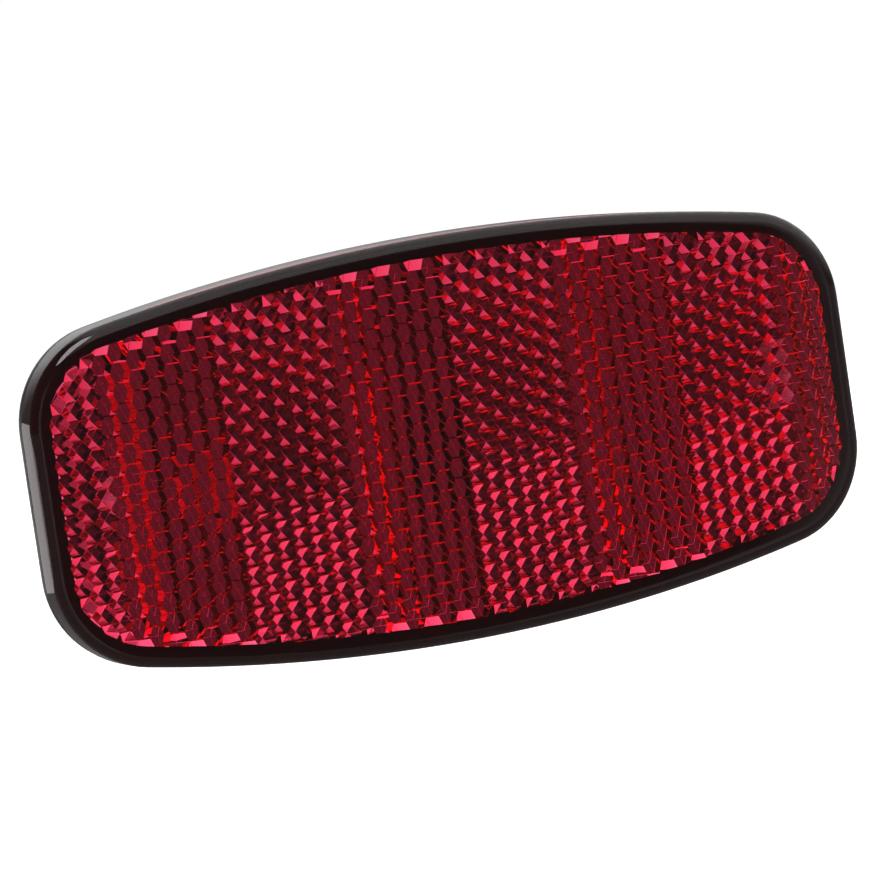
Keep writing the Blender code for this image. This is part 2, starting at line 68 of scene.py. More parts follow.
def colour(code):
    """Linear red, green, blue and alpha of an sRGB hex value."""
    channels = []
    for start in (0, 2, 4):
        value = int(code[start:start + 2], 16) / 255
        channels.append(value / 12.92 if value <= 0.04045 else ((value + 0.055) / 1.055) ** 2.4)
    return (*channels, 1.0)


# Sizes and colours that a user would change


class LensSizes(bpy.types.PropertyGroup):
    width: FloatProperty(
        name="Width", description="Overall width of the lens", default=LENS_HIGH[0] - LENS_LOW[0],
        unit="LENGTH")
    height: FloatProperty(
        name="Height", description="Overall height at the middle", default=LENS_HIGH[2] - LENS_LOW[2],
        unit="LENGTH")
    top_bow: FloatProperty(
        name="Long side bow", description="Rise of the long sides", default=5.75 * MM, unit="LENGTH")
    side_bow: FloatProperty(
        name="Short side bow", description="Rise of the short sides", default=0.15 * MM, unit="LENGTH")
    corner_radius: FloatProperty(
        name="Corner radius", description="Radius of the outline's corners", default=11.35 * MM,
        unit="LENGTH")
    face_radius: FloatProperty(
        name="Face radius", description="Radius of the front across the width", default=463 * MM,
        unit="LENGTH")
    rim_width: FloatProperty(
        name="Rim width", description="Solid rim around the prisms", default=2.4 * MM, unit="LENGTH")
    rim_depth: FloatProperty(
        name="Rim depth", description="Front to the welded back edge", default=7.0 * MM, unit="LENGTH")
    shoulder_width: FloatProperty(
        name="Shoulder width", description="Width of the rounded front edge", default=1.7 * MM, unit="LENGTH")
    shoulder_drop: FloatProperty(
        name="Shoulder drop", description="Depth of the rounded front edge", default=1.4 * MM, unit="LENGTH")
    plate: FloatProperty(
        name="Plate", description="Thickness where no prisms stand", default=0.9 * MM, unit="LENGTH")
    pin_foot: FloatProperty(
        name="Prism foot", description="Depth of the lowest prism corners", default=1.0 * MM, unit="LENGTH")
    pin_edge: FloatProperty(
        name="Prism edge", description="Width that polishing takes off a prism's ridges", default=0.04 * MM,
        unit="LENGTH")
    pin_flats: FloatProperty(
        name="Prism across flats", description="Height of one row of prisms", default=2.3 * MM, unit="LENGTH")
    band: IntProperty(
        name="Columns per band", description="Columns before the prisms turn round", default=7, min=1)


class HousingSizes(bpy.types.PropertyGroup):
    seat: FloatProperty(
        name="Seat", description="Gap left where two pieces touch", default=0.03 * MM, unit="LENGTH")
    flange_inset: FloatProperty(
        name="Flange inset", description="Flange edge behind the rim", default=0.15 * MM, unit="LENGTH")
    locating_rib: FloatProperty(
        name="Locating rib", description="Rise of the ribs inside the rim", default=1.0 * MM, unit="LENGTH")
    flange: FloatProperty(
        name="Flange thickness", description="Thickness of the welded flange", default=1.35 * MM,
        unit="LENGTH")
    wall: FloatProperty(
        name="Wall", description="Wall of the tray", default=1.6 * MM, unit="LENGTH")
    floor: FloatProperty(
        name="Floor depth", description="Front of the lens to the tray floor", default=8.4 * MM,
        unit="LENGTH")
    pad_width: FloatProperty(
        name="Pad width", description="Width of the pad on the carrier", default=46 * MM, unit="LENGTH")
    pad_height: FloatProperty(
        name="Pad height", description="Height of the pad on the carrier", default=15 * MM, unit="LENGTH")
    boss_radius: FloatProperty(
        name="Boss radius", description="Radius of a screw boss", default=6.4 * MM, unit="LENGTH")
    spacing: FloatProperty(
        name="Screw spacing", description="Distance between the screws", default=80 * MM, unit="LENGTH")


class FastenerSizes(bpy.types.PropertyGroup):
    thread: FloatProperty(
        name="Thread", description="Nominal thread diameter", default=5.0 * MM, unit="LENGTH")
    pitch: FloatProperty(
        name="Pitch", description="Thread pitch", default=0.8 * MM, unit="LENGTH")
    flats: FloatProperty(
        name="Across flats", description="Hexagon width", default=8.0 * MM, unit="LENGTH")
    head_seat: FloatProperty(
        name="Head seat", description="Seat of the head before the carrier plane", default=2.3 * MM,
        unit="LENGTH")
    head: FloatProperty(
        name="Head height", description="Height of the screw head", default=3.5 * MM, unit="LENGTH")
    length: FloatProperty(
        name="Length", description="Length under the head", default=16 * MM, unit="LENGTH")
    washer_end: FloatProperty(
        name="Washer end", description="Back of the flat washer", default=1.3 * MM, unit="LENGTH")
    spring_end: FloatProperty(
        name="Spring washer end", description="Back of the spring washer", default=2.8 * MM, unit="LENGTH")
    nut_end: FloatProperty(
        name="Nut end", description="Back of the nut", default=7.1 * MM, unit="LENGTH")


class Finishes(bpy.types.PropertyGroup):
    red: FloatVectorProperty(
        name="Red", description="What a thin layer of the red plastic lets through", subtype="COLOR", size=4,
        default=colour("fd50a4"))
    black_dark: FloatVectorProperty(
        name="Black, dark", description="Darker flow marks of the black plastic", subtype="COLOR", size=4,
        default=colour("161617"))
    black_light: FloatVectorProperty(
        name="Black, light", description="Lighter flow marks of the black plastic", subtype="COLOR", size=4,
        default=colour("1f1f21"))
    zinc_cool: FloatVectorProperty(
        name="Zinc, cool", description="Bluish patches of the zinc plating", subtype="COLOR", size=4,
        default=colour("b9bfc6"))
    zinc_warm: FloatVectorProperty(
        name="Zinc, warm", description="Yellowish patches of the zinc plating", subtype="COLOR", size=4,
        default=colour("d3cfc2"))


# Small tools


def deselect():
    if bpy.context.object and bpy.context.object.mode != "OBJECT":
        bpy.ops.object.mode_set(mode="OBJECT")
    bpy.ops.object.select_all(action="DESELECT")


def pick(*objects):
    """Select only these objects, the first one active."""
    deselect()
    for each in objects:
        each.select_set(True)
    bpy.context.view_layer.objects.active = objects[0]
    return objects[0]


def edit(thing):
    """Enter edit mode with points selectable."""
    pick(thing)
    bpy.ops.object.mode_set(mode="EDIT")
    bpy.ops.mesh.select_mode(type="VERT")
    mesh = bmesh.from_edit_mesh(thing.data)
    mesh.verts.ensure_lookup_table()
    return mesh


def leave(thing):
    """Go back to object mode."""
    bpy.ops.object.mode_set(mode="OBJECT")
    return thing


def name_it(name):
    """Name the newest object and its data."""
    thing = bpy.context.object
    thing.name = name
    thing.data.name = name
    return thing


def place(thing):
    """Move an object's own place into its mesh."""
    pick(thing)
    bpy.ops.object.transform_apply(location=True, rotation=True, scale=True)
    return thing


def tidy_normals(thing):
    """Merge doubles and turn every face outwards."""
    edit(thing)
    bpy.ops.mesh.select_all(action="SELECT")
    bpy.ops.mesh.remove_doubles(threshold=WELD)
    bpy.ops.mesh.dissolve_degenerate(threshold=WELD)
    bpy.ops.mesh.select_all(action="SELECT")
    bpy.ops.mesh.normals_make_consistent(inside=False)
    return leave(thing)


def combine(target, operation, *tools):
    """Boolean with each tool in turn. The tools are used up."""
    for tool in tools:
        pick(target)
        bpy.ops.object.modifier_add(type="BOOLEAN")
        step = target.modifiers[-1]
        step.operation = operation
        step.solver = "EXACT"
        step.object = tool
        bpy.ops.object.modifier_apply(modifier=step.name)
        bpy.data.objects.remove(tool, do_unlink=True)
        tidy_normals(target)
    return target


def finish_piece(thing, node, material, angle):
    """Shade, paint and attach a finished piece to the root body in place of its CAD node, which is hidden."""
    thing.data.materials.clear()
    thing.data.materials.append(material)
    pick(thing)
    bpy.ops.object.shade_smooth_by_angle(angle=angle)
    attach(thing, "root")
    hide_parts(node)
    return thing


def copy_of(thing, name, x):
    """A copy with its own mesh, moved along X."""
    pick(thing)
    bpy.ops.object.duplicate(linked=False)
    twin = name_it(name)
    bpy.ops.transform.translate(value=(x, 0, 0))
    return place(twin)


# The outline that lens and housing share


def arc(centre, radius, start, end, steps):
    angles = [start + (end - start) * i / steps for i in range(steps + 1)]
    return [(centre[0] + radius * math.cos(a), centre[1] + radius * math.sin(a)) for a in angles]


def face_sag(x):
    """How far the curved front has dropped back at x."""
    radius = bpy.context.scene.reflector_lens.face_radius
    return radius - math.sqrt(radius ** 2 - x ** 2)


def outline_quarter(inset, steps):
    """Upper right quarter of the outline, moved inwards: long side with corner, and short side."""
    sizes = bpy.context.scene.reflector_lens
    half_width = sizes.width / 2
    half_height = sizes.height / 2
    top_radius = (half_width ** 2 + sizes.top_bow ** 2) / (2 * sizes.top_bow)
    side_radius = (half_height ** 2 + sizes.side_bow ** 2) / (2 * sizes.side_bow)
    top_centre = Vector((0.0, half_height - top_radius))
    side_centre = Vector((half_width - side_radius, 0.0))
    across = side_centre - top_centre
    distance = across.length
    from_top = top_radius - sizes.corner_radius
    from_side = side_radius - sizes.corner_radius
    along = (from_top ** 2 - from_side ** 2 + distance ** 2) / (2 * distance)
    unit = across / distance
    aside = math.sqrt(from_top ** 2 - along ** 2)
    corner = top_centre + unit * along + Vector((unit.y, -unit.x)) * aside
    top_end = corner - top_centre
    side_end = corner - side_centre
    top_angle = math.atan2(top_end.y, top_end.x)
    side_angle = math.atan2(side_end.y, side_end.x)
    top_steps, corner_steps, side_steps = steps
    long_side = arc(top_centre, top_radius - inset, math.pi / 2, top_angle, top_steps)
    long_side += arc(corner, sizes.corner_radius - inset, top_angle, side_angle, corner_steps)[1:]
    short_side = arc(side_centre, side_radius - inset, side_angle, 0.0, side_steps)
    return long_side, short_side


# Steps along half a long side, round a corner and along half a short side
FINE = (40, 16, 8)


def outline(inset, steps=FINE):
    """Closed outline from the top centre clockwise, as (x, z)."""
    long_side, short_side = outline_quarter(inset, steps)
    quarter = long_side + short_side[1:]
    right = quarter + [(x, -z) for x, z in reversed(quarter[:-1])]
    return right + [(-x, z) for x, z in reversed(right[1:-1])]


def outline_sheet(name, inset, depth, curved, steps=FINE):
    """A sheet of four-sided faces that fills the outline, flat or following the curved front."""
    long_side, short_side = outline_quarter(inset, steps)
    columns = len(long_side)
    rows = len(short_side)
    corner_z = short_side[0][1]
    bpy.ops.object.select_all(action="DESELECT")
    bpy.ops.mesh.primitive_grid_add(x_subdivisions=2 * columns - 2, y_subdivisions=2 * rows - 2, size=2)
    sheet = name_it(name)
    for vertex in sheet.data.vertices:
        column = round(abs(vertex.co.x) * (columns - 1))
        row = round(abs(vertex.co.y) * (rows - 1))
        x, top = long_side[column]
        side_x, side_z = short_side[rows - 1 - row]
        if column == columns - 1:
            x = side_x
        z = top * side_z / corner_z
        x = math.copysign(x, vertex.co.x) if column else 0.0
        z = math.copysign(z, vertex.co.y) if row else 0.0
        vertex.co = (x, FRONT_Y + depth + (face_sag(x) if curved else 0.0), z)
    return sheet


def grow_rings(sheet, first, rings):
    """Extrude the sheet's border through rings of (inset, depth, curved) and close the last one."""
    edit(sheet)
    bpy.ops.mesh.select_all(action="DESELECT")
    bpy.ops.mesh.select_mode(type="EDGE")
    bpy.ops.mesh.select_non_manifold()
    here = [Vector((x, 0, z)) for x, z in outline(first)]
    for inset, depth, curved in rings:
        bpy.ops.mesh.extrude_region_move()
        mesh = bmesh.from_edit_mesh(sheet.data)
        target = outline(inset)
        index_of = {cell(point): i for i, point in enumerate(here)}
        for vertex in [v for v in mesh.verts if v.select]:
            index = nearest(index_of, vertex.co, here)
            x, z = target[index]
            vertex.co = (x, FRONT_Y + depth + (face_sag(x) if curved else 0.0), z)
        here = [Vector((x, 0, z)) for x, z in target]
    bpy.ops.mesh.edge_face_add()
    bmesh.update_edit_mesh(sheet.data)
    leave(sheet)
    return tidy_normals(sheet)


def cell(point):
    """A point's place in a fine grid."""
    return round(point.x / WELD / 4), round(point.z / WELD / 4)


def nearest(index_of, place_now, ring):
    """Index of the ring point at a place."""
    if cell(place_now) in index_of:
        return index_of[cell(place_now)]
    flat = Vector((place_now.x, 0, place_now.z))
    return min(range(len(ring)), key=lambda i: (ring[i] - flat).length_squared)


# Materials


def new_material(name):
    material = bpy.data.materials.new(name)
    material.use_nodes = True
    material.node_tree.nodes.clear()
    return material


def add(material, kind, links=None, **settings):
    """Add a node, set its properties and input values, and link sockets to its inputs."""
    tree = material.node_tree
    node = tree.nodes.new(kind)
    for key, value in settings.items():
        if key.startswith("in_"):
            socket = key[3:]
            socket = int(socket) if socket.isdigit() else socket.replace("_", " ")
            node.inputs[socket].default_value = value
        else:
            setattr(node, key, value)
    for socket, source in (links or {}).items():
        tree.links.new(source, node.inputs[socket])
    return node


def red_pmma():
    """Injection-moulded transparent red PMMA: a polished skin, deep red inside from absorption, and a trace
    of haze from handling."""
    material = new_material("red_pmma_moulded")
    coordinates = add(material, "ShaderNodeTexCoord")
    place_now = coordinates.outputs["Object"]
    # Moulding ripple, about 6 mm long and far below a degree of slope
    ripple = add(material, "ShaderNodeTexNoise", {"Vector": place_now}, in_Scale=160.0, in_Detail=1.0)
    ripple_bump = add(material, "ShaderNodeBump", {"Height": ripple.outputs[0]},
                      in_Strength=0.02, in_Distance=0.02 * MM)
    # Haze of 0.5 mm specks left by wiping
    haze = add(material, "ShaderNodeTexNoise", {"Vector": place_now}, in_Scale=2000.0, in_Detail=3.0)
    rough = add(material, "ShaderNodeMapRange", {"Value": haze.outputs[0]},
                in_1=0.35, in_2=0.75, in_3=0.0, in_4=0.03)
    shell = add(material, "ShaderNodeBsdfPrincipled",
                {"Normal": ripple_bump.outputs[0], "Roughness": rough.outputs[0]},
                in_Base_Color=(1, 1, 1, 1), in_IOR=1.49, in_Transmission_Weight=1.0)
    # Red passes, green and blue are gone within a few millimetres
    inside = add(material, "ShaderNodeVolumeAbsorption",
                 in_Color=bpy.context.scene.reflector_finishes.red, in_Density=640.0)
    add(material, "ShaderNodeOutputMaterial", {"Surface": shell.outputs[0], "Volume": inside.outputs[0]})
    return material


def welded_seam():
    """PMMA fused to the black ABS: seen through the rim it is plain black, with no air gap and no gloss."""
    material = new_material("welded_seam_black")
    coordinates = add(material, "ShaderNodeTexCoord")
    # Melt streaks of about 1 mm
    melt = add(material, "ShaderNodeTexNoise", {"Vector": coordinates.outputs["Object"]},
               in_Scale=1000.0, in_Detail=2.0)
    tone = add(material, "ShaderNodeValToRGB", {0: melt.outputs[0]})
    tone.color_ramp.elements[0].color = colour("0b0a0a")
    tone.color_ramp.elements[1].color = colour("141213")
    shader = add(material, "ShaderNodeBsdfPrincipled", {"Base Color": tone.outputs[0]},
                 in_Roughness=0.8, in_IOR=1.49)
    add(material, "ShaderNodeOutputMaterial", {"Surface": shader.outputs[0]})
    return material


def black_abs():
    """Injection-moulded black ABS with a spark-eroded mould grain: a deep black with a soft sheen."""
    material = new_material("black_abs_moulded")
    coordinates = add(material, "ShaderNodeTexCoord")
    place_now = coordinates.outputs["Object"]
    # Grain of about 0.12 mm
    grain = add(material, "ShaderNodeTexNoise", {"Vector": place_now}, in_Scale=8000.0, in_Detail=2.0)
    bump = add(material, "ShaderNodeBump", {"Height": grain.outputs[0]},
               in_Strength=0.25, in_Distance=0.03 * MM)
    # Broad flow marks, about 8 mm
    flow = add(material, "ShaderNodeTexNoise", {"Vector": place_now},
               in_Scale=120.0, in_Detail=4.0, in_Distortion=0.6)
    rough = add(material, "ShaderNodeMapRange", {"Value": flow.outputs[0]},
                in_1=0.3, in_2=0.7, in_3=0.38, in_4=0.52)
    tone = add(material, "ShaderNodeValToRGB", {0: flow.outputs[0]})
    tone.color_ramp.elements[0].position = 0.35
    tone.color_ramp.elements[1].position = 0.7
    tone.color_ramp.elements[0].color = bpy.context.scene.reflector_finishes.black_dark
    tone.color_ramp.elements[1].color = bpy.context.scene.reflector_finishes.black_light
    shader = add(material, "ShaderNodeBsdfPrincipled",
                 {"Base Color": tone.outputs[0], "Roughness": rough.outputs[0], "Normal": bump.outputs[0]},
                 in_IOR=1.54)
    add(material, "ShaderNodeOutputMaterial", {"Surface": shader.outputs[0]})
    return material


def zinc_plated():
    """Cold-formed steel with bright zinc plating: silvery, faintly blue and yellow, with a fine grain."""
    material = new_material("zinc_plated_steel")
    coordinates = add(material, "ShaderNodeTexCoord")
    place_now = coordinates.outputs["Object"]
    # Passivation tint in patches of about 2 mm
    tint = add(material, "ShaderNodeTexNoise", {"Vector": place_now},
               in_Scale=500.0, in_Detail=3.0, in_Distortion=0.8)
    ramp = add(material, "ShaderNodeValToRGB", {0: tint.outputs[0]})
    ramp.color_ramp.elements[0].position = 0.3
    ramp.color_ramp.elements[1].position = 0.72
    ramp.color_ramp.elements[0].color = bpy.context.scene.reflector_finishes.zinc_cool
    ramp.color_ramp.elements[1].color = bpy.context.scene.reflector_finishes.zinc_warm
    # Forming grain of about 0.1 mm
    grain = add(material, "ShaderNodeTexNoise", {"Vector": place_now}, in_Scale=9000.0, in_Detail=2.0)
    rough = add(material, "ShaderNodeMapRange", {"Value": grain.outputs[0]},
                in_1=0.3, in_2=0.7, in_3=0.22, in_4=0.38)
    bump = add(material, "ShaderNodeBump", {"Height": grain.outputs[0]},
               in_Strength=0.15, in_Distance=0.02 * MM)
    shader = add(material, "ShaderNodeBsdfPrincipled",
                 {"Base Color": ramp.outputs[0], "Roughness": rough.outputs[0], "Normal": bump.outputs[0]},
                 in_Metallic=1.0)
    add(material, "ShaderNodeOutputMaterial", {"Surface": shader.outputs[0]})
    return material


# Lens


# Points of neighbouring prisms that are nearer than this are one point
PRISM_WELD = 0.001 * MM


def prism_column(name, count, turned_round):
    """A column of cube-corner prisms whose edges meet, modelled as one prism and repeated."""
    sizes = bpy.context.scene.reflector_lens
    radius = sizes.pin_flats / math.sqrt(3)
    ridge_rise = radius / math.sqrt(2)
    bpy.ops.object.select_all(action="DESELECT")
    bpy.ops.mesh.primitive_circle_add(
        vertices=6, radius=radius, fill_type="TRIFAN", rotation=(math.pi / 2, math.pi / 6, 0))
    column = place(name_it(name))
    for vertex in column.data.vertices:
        x, z = vertex.co.x, vertex.co.z
        if math.hypot(x, z) < radius / 2:
            rise = 2 * ridge_rise
        else:
            sixth = round(math.atan2(z, x) / (math.pi / 3))
            rise = 0.0 if sixth % 2 == 0 else ridge_rise
        if turned_round:
            x = -x
        vertex.co = (x, FRONT_Y + sizes.pin_foot + rise, z)
    round_ridges(column, ridge_rise)
    for vertex in column.data.vertices:
        vertex.co.z -= (count - 1) / 2 * sizes.pin_flats
    pick(column)
    bpy.ops.object.modifier_add(type="ARRAY")
    step = column.modifiers[-1]
    step.count = count
    step.use_relative_offset = False
    step.use_constant_offset = True
    step.constant_offset_displace = (0, 0, sizes.pin_flats)
    step.use_merge_vertices = True
    step.merge_threshold = PRISM_WELD
    bpy.ops.object.modifier_apply(modifier=step.name)
    return column


def round_ridges(prism, ridge_rise):
    """Break a prism's three ridges and keep its six corners, so that it still meets its neighbours."""
    sizes = bpy.context.scene.reflector_lens
    foot = FRONT_Y + sizes.pin_foot
    corners = [v.co.copy() for v in prism.data.vertices if abs(v.co.y - foot - ridge_rise) < WELD]
    edit(prism)
    bpy.ops.mesh.select_mode(type="EDGE")
    pick_edges(prism, lambda a, b: abs(max(a.y, b.y) - foot - 2 * ridge_rise) < WELD
               and abs(min(a.y, b.y) - foot - ridge_rise) < WELD)
    bpy.ops.mesh.bevel(offset=sizes.pin_edge, segments=2)
    # The bevel cuts three corners off, and each is pulled out again from the short edges it left
    for corner in corners:
        pick_edges(prism, lambda a, b: max((a - corner).length, (b - corner).length) < 2 * sizes.pin_edge)
        bpy.ops.mesh.extrude_region_move()
        mesh = bmesh.from_edit_mesh(prism.data)
        for vertex in mesh.verts:
            if vertex.select:
                vertex.co = corner
        bmesh.update_edit_mesh(prism.data)
    bpy.ops.mesh.select_all(action="SELECT")
    bpy.ops.mesh.remove_doubles(threshold=PRISM_WELD)
    leave(prism)


def faces_right(column):
    """Bands of prisms turned by half a turn against each other."""
    return (column // bpy.context.scene.reflector_lens.band) % 2 == 0


def prism_block():
    """All columns side by side, joined by their small steps and closed behind."""
    sizes = bpy.context.scene.reflector_lens
    pitch = sizes.pin_flats * math.sqrt(3) / 2
    half_columns = int(sizes.width / 2 / pitch)
    half_rows = int(sizes.height / 2 / sizes.pin_flats)
    patterns = {}
    for right in (True, False):
        for odd in (0, 1):
            patterns[right, odd] = prism_column("prisms", 2 * half_rows + 1 - odd, not right)
    columns = []
    for column in range(-half_columns, half_columns):
        pick(patterns[faces_right(column), column & 1])
        bpy.ops.object.duplicate(linked=False)
        x = (column + 0.5) * pitch
        bpy.ops.transform.translate(value=(x, face_sag(x), 0))
        columns.append(place(bpy.context.object))
    for pattern in patterns.values():
        bpy.data.objects.remove(pattern, do_unlink=True)
    pick(*columns)
    bpy.ops.object.join()
    block = name_it("prism_block")
    edit(block)
    bpy.ops.mesh.select_mode(type="EDGE")
    reach = half_rows * sizes.pin_flats
    # Both columns' open edges zigzag within a sixth of a column to each side of their border
    zigzag = 0.17 * pitch
    close = 0.05 * pitch
    for column in range(-half_columns, half_columns - 1):
        border = (column + 1) * pitch
        if faces_right(column) != faces_right(column + 1):
            pick_steps(block, border, reach, close)
            bpy.ops.mesh.subdivide(number_cuts=1)
            step = face_sag(border + pitch / 2) - face_sag(border - pitch / 2)
            meet_halfway(block, border, close, step, sizes.pin_flats / math.sqrt(6))
        pick_steps(block, border, reach, zigzag)
        bpy.ops.mesh.bridge_edge_loops()
    bpy.ops.mesh.select_all(action="DESELECT")
    bpy.ops.mesh.select_non_manifold(
        extend=False, use_wire=False, use_boundary=True, use_multi_face=False, use_non_contiguous=False,
        use_verts=False)
    bpy.ops.mesh.extrude_region_move()
    mesh = bmesh.from_edit_mesh(block.data)
    for vertex in mesh.verts:
        if vertex.select:
            vertex.co.y = FRONT_Y + 2 * sizes.rim_depth
    bpy.ops.mesh.edge_face_add()
    bmesh.update_edit_mesh(block.data)
    leave(block)
    return tidy_normals(block)


def pick_steps(block, border, reach, width):
    """Select the open edges of two columns where they face each other."""
    bpy.ops.mesh.select_all(action="DESELECT")
    mesh = bmesh.from_edit_mesh(block.data)
    for line in mesh.edges:
        if line.is_boundary:
            middle = (line.verts[0].co + line.verts[1].co) / 2
            if abs(middle.x - border) < width and abs(middle.z) < reach - WELD:
                line.select_set(True)
    bmesh.update_edit_mesh(block.data)


def meet_halfway(block, border, width, step, rise):
    """Move the new points in the open edges to where the two columns have the same depth."""
    mesh = bmesh.from_edit_mesh(block.data)
    moves = []
    for vertex in mesh.verts:
        lines = [line for line in vertex.link_edges if line.is_boundary]
        if vertex.select and len(lines) == 2 and abs(vertex.co.x - border) < width:
            ends = sorted((line.other_vert(vertex).co for line in lines), key=lambda end: end.y)
            run = ends[1] - ends[0]
            if abs(run.x) < 2 * width or run.y < 2 * width:
                continue
            side = -1 if vertex.link_faces[0].calc_center_median().x > border else 1
            moves.append((vertex, ends[0] + run * ((rise + side * step) / (2 * run.y))))
    for vertex, there in moves:
        vertex.co = there
    bmesh.update_edit_mesh(block.data)


def lens_body():
    """Curved face, rounded shoulder, side and back of the lens as one solid."""
    sizes = bpy.context.scene.reflector_lens
    body = outline_sheet("clear_red_lens", sizes.shoulder_width, 0.0, True)
    rings = []
    steps = 12
    for i in range(1, steps + 1):
        angle = math.pi / 2 * i / steps
        rings.append((sizes.shoulder_width * (1 - math.sin(angle)),
                      sizes.shoulder_drop * (1 - math.cos(angle)), True))
    edge = 0.25 * MM
    rings.append((0.0, sizes.rim_depth - edge, False))
    rings.append((0.3 * edge, sizes.rim_depth - 0.3 * edge, False))
    rings.append((edge, sizes.rim_depth, False))
    return grow_rings(body, sizes.shoulder_width, rings)


class REFLECTOR_OT_lens(bpy.types.Operator):
    """Model the red lens with its rim and its field of prisms"""
    bl_idname = "reflector.lens"
    bl_label = "Lens"

    def execute(self, context):
        sizes = context.scene.reflector_lens
        window = outline_sheet("window", sizes.rim_width, sizes.plate, True)
        grow_rings(window, sizes.rim_width, [(sizes.rim_width, sizes.rim_depth + 1 * MM, False)])
        cavity = combine(prism_block(), "INTERSECT", window)
        lens = combine(lens_body(), "DIFFERENCE", cavity)
        # Smooth over the shoulder's steps, sharp at every edge of the prisms
        finish_piece(lens, "lens", red_pmma(), math.radians(12))
        lens.data.materials.append(welded_seam())
        seam = FRONT_Y + sizes.rim_depth
        for face in lens.data.polygons:
            if abs(face.center.y - seam) < WELD and face.normal.y > 0.9:
                face.material_index = 1
        return {"FINISHED"}


# Housing


def from_profile(name, x, profile, steps=64, sweep=2 * math.pi):
    """A turned solid about an axis along Y, from a profile of (radius, y) drawn point by point and spun."""
    radius, y = profile[0]
    deselect()
    bpy.ops.mesh.primitive_plane_add(size=MM, location=(x + radius, y, 0))
    solid = place(name_it(name))
    edit(solid)
    bpy.ops.mesh.select_all(action="SELECT")
    bpy.ops.mesh.merge(type="CENTER")
    for (near, start), (far, end) in zip(profile, profile[1:]):
        bpy.ops.mesh.extrude_vertices_move(TRANSFORM_OT_translate={"value": (far - near, end - start, 0)})
    bpy.ops.mesh.select_all(action="SELECT")
    bpy.ops.mesh.spin(steps=steps, angle=sweep, center=(x, 0, 0), axis=(0, 1, 0))
    leave(solid)
    return tidy_normals(solid)


def block(name, low, high, draft=0.0, corner=0.0, edge=0.0):
    """A moulded block, drawn in towards its +Y end, with round upright corners and a broken end edge."""
    deselect()
    size = [b - a for a, b in zip(low, high)]
    bpy.ops.mesh.primitive_cube_add(size=1, location=[(a + b) / 2 for a, b in zip(low, high)], scale=size)
    solid = place(name_it(name))
    pick_vertices(solid, lambda co: co.y > high[1] - WELD)
    centre = [(a + b) / 2 for a, b in zip(low, high)]
    bpy.ops.transform.resize(
        value=(1 - 2 * draft / size[0], 1, 1 - 2 * draft / size[2]), center_override=centre)
    if corner:
        bpy.ops.mesh.select_mode(type="EDGE")
        pick_edges(solid, lambda a, b: abs(a.y - b.y) > size[1] / 2)
        bpy.ops.mesh.bevel(offset=corner, segments=8)
    if edge:
        bpy.ops.mesh.select_mode(type="EDGE")
        pick_edges(solid, lambda a, b: min(a.y, b.y) > high[1] - WELD)
        bpy.ops.mesh.bevel(offset=edge, segments=3)
    leave(solid)
    return tidy_normals(solid)


def pick_vertices(thing, wanted):
    mesh = edit(thing)
    for vertex in mesh.verts:
        vertex.select_set(wanted(vertex.co))
    mesh.select_flush_mode()
    bmesh.update_edit_mesh(thing.data)


def pick_edges(thing, wanted):
    bpy.ops.mesh.select_all(action="DESELECT")
    mesh = bmesh.from_edit_mesh(thing.data)
    for line in mesh.edges:
        line.select_set(wanted(line.verts[0].co, line.verts[1].co))
    bmesh.update_edit_mesh(thing.data)


def tray():
    """Recess, welding flange and drawn-in back of the housing."""
    lens = bpy.context.scene.reflector_lens
    sizes = bpy.context.scene.reflector_housing
    top = lens.rim_depth + sizes.seat
    wall_inset = lens.rim_width + sizes.wall / 2
    cove = 0.4 * sizes.wall
    shell = outline_sheet("housing_tray", wall_inset + cove, sizes.floor, False)
    rings = []
    for i in range(1, 7):
        angle = math.pi / 12 * i
        rings.append((wall_inset + cove * (1 - math.sin(angle)),
                      sizes.floor - cove * (1 - math.cos(angle)), False))
    edge = 0.15 * MM
    third = 0.3 * edge
    flange = sizes.flange_inset
    foot = top + sizes.flange
    back = sizes.floor + sizes.wall
    rings += [(wall_inset, top + edge, False), (wall_inset - third, top + third, False)]
    rings += [(wall_inset - edge, top, False), (flange + edge, top, False)]
    rings += [(flange + third, top + third, False), (flange, top + edge, False)]
    rings += [(flange, foot - edge, False), (flange + third, foot - third, False)]
    # The drawn-in back: a small cove under the flange, then a crowned slope
    for inset, depth in ((0.2, 0.0), (0.6, 0.05), (0.75, 0.11), (0.88, 0.24), (1.05, 0.36), (1.5, 0.62),
                         (2.1, 0.93), (2.7, 1.2), (3.2, 1.38), (3.6, 1.5), (3.95, 1.57), (4.3, 1.6)):
        rings.append((flange + inset * MM, foot + (back - foot) * depth / 1.6, False))
    return grow_rings(shell, wall_inset + cove, rings)


def locating_rib(side):
    """A rib that stands inside the rim along one long side."""
    lens = bpy.context.scene.reflector_lens
    sizes = bpy.context.scene.reflector_housing
    gap = 0.3 * MM
    thickness = MM
    half_length = 33 * MM
    outer = lens.rim_width + gap
    top = lens.rim_depth - sizes.locating_rib
    rib = outline_sheet("locating_rib", outer, top, False)
    grow_rings(rib, outer, [(outer, sizes.floor + sizes.wall / 2, False)])
    core = outline_sheet("rib_core", outer + thickness, top - MM, False)
    grow_rings(core, outer + thickness, [(outer + thickness, sizes.floor + sizes.wall, False)])
    combine(rib, "DIFFERENCE", core)
    low, high = sorted((side * 10 * MM, side * 40 * MM))
    span = block("rib_span", (-half_length, FRONT_Y - MM, low), (half_length, 0, high))
    return combine(rib, "INTERSECT", span)


